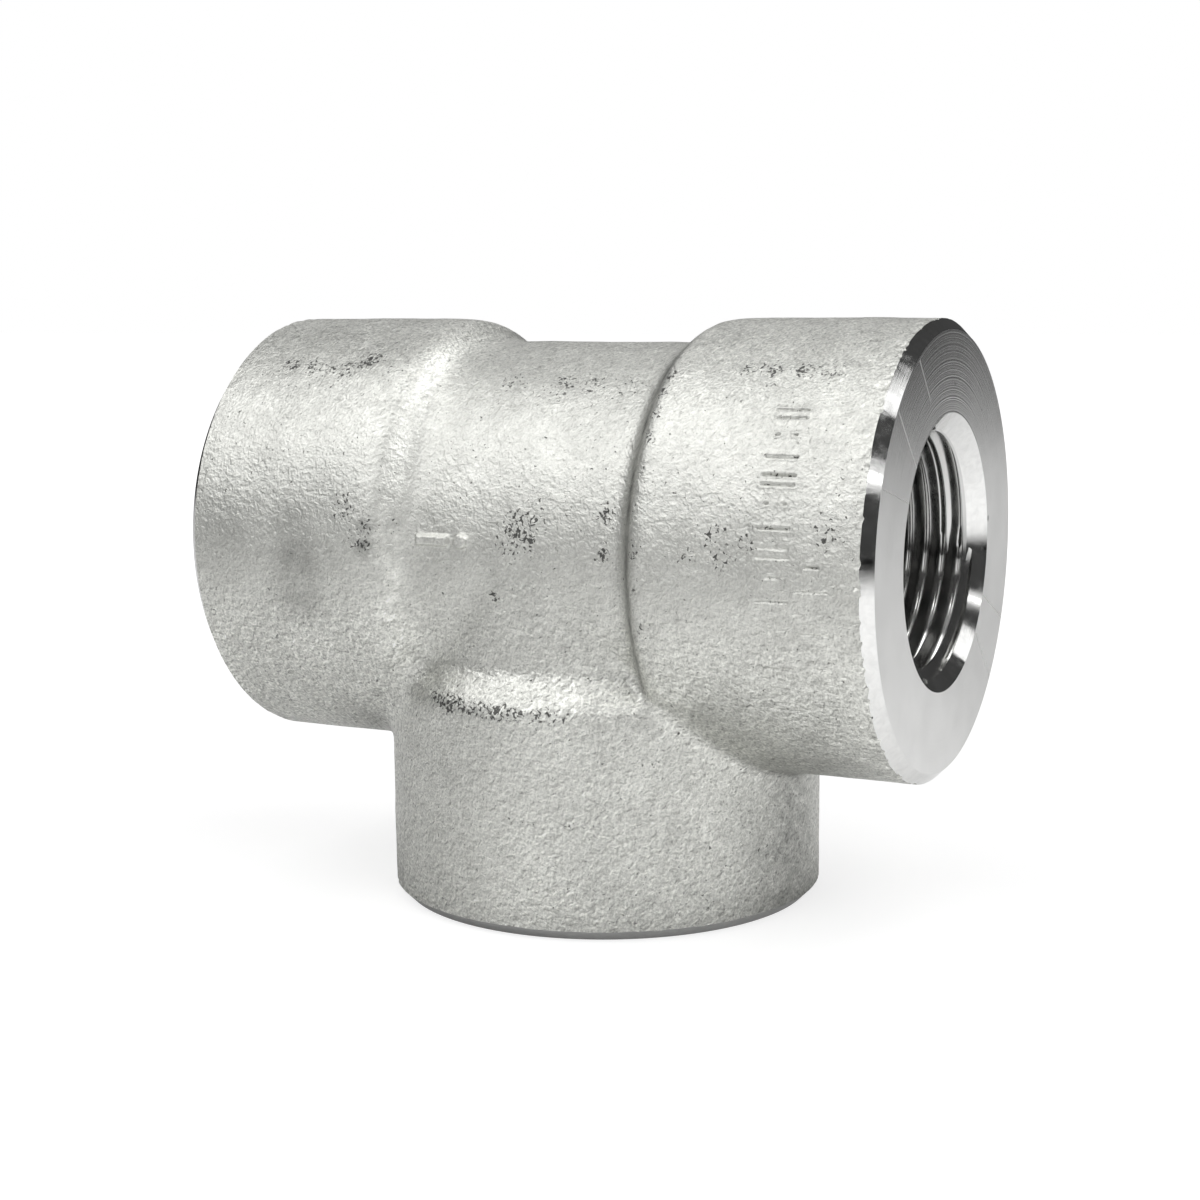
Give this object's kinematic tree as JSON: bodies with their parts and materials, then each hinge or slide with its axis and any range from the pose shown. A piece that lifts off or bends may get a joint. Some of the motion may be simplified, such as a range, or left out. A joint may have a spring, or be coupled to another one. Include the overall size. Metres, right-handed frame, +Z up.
{
  "type": "threaded equal tee",
  "caption": "Forged steel pipe tee with equal legs, thick collars and female taper threads, for joining a branch pipe to a run.",
  "frame": {"origin": "centre of the branch's end face, which is what the tee stands on", "axes": "+X along the run, +Z up the branch towards the crossing of the axes, which is 38 mm above the origin"},
  "size_m": [0.076, 0.0466, 0.0613],
  "materials": {
    "forged_steel": "shot-blasted forged skin, with turned end faces"
  },
  "bodies": {
    "root": {"tee_body": "forged_steel"}
  },
  "joints": []
}
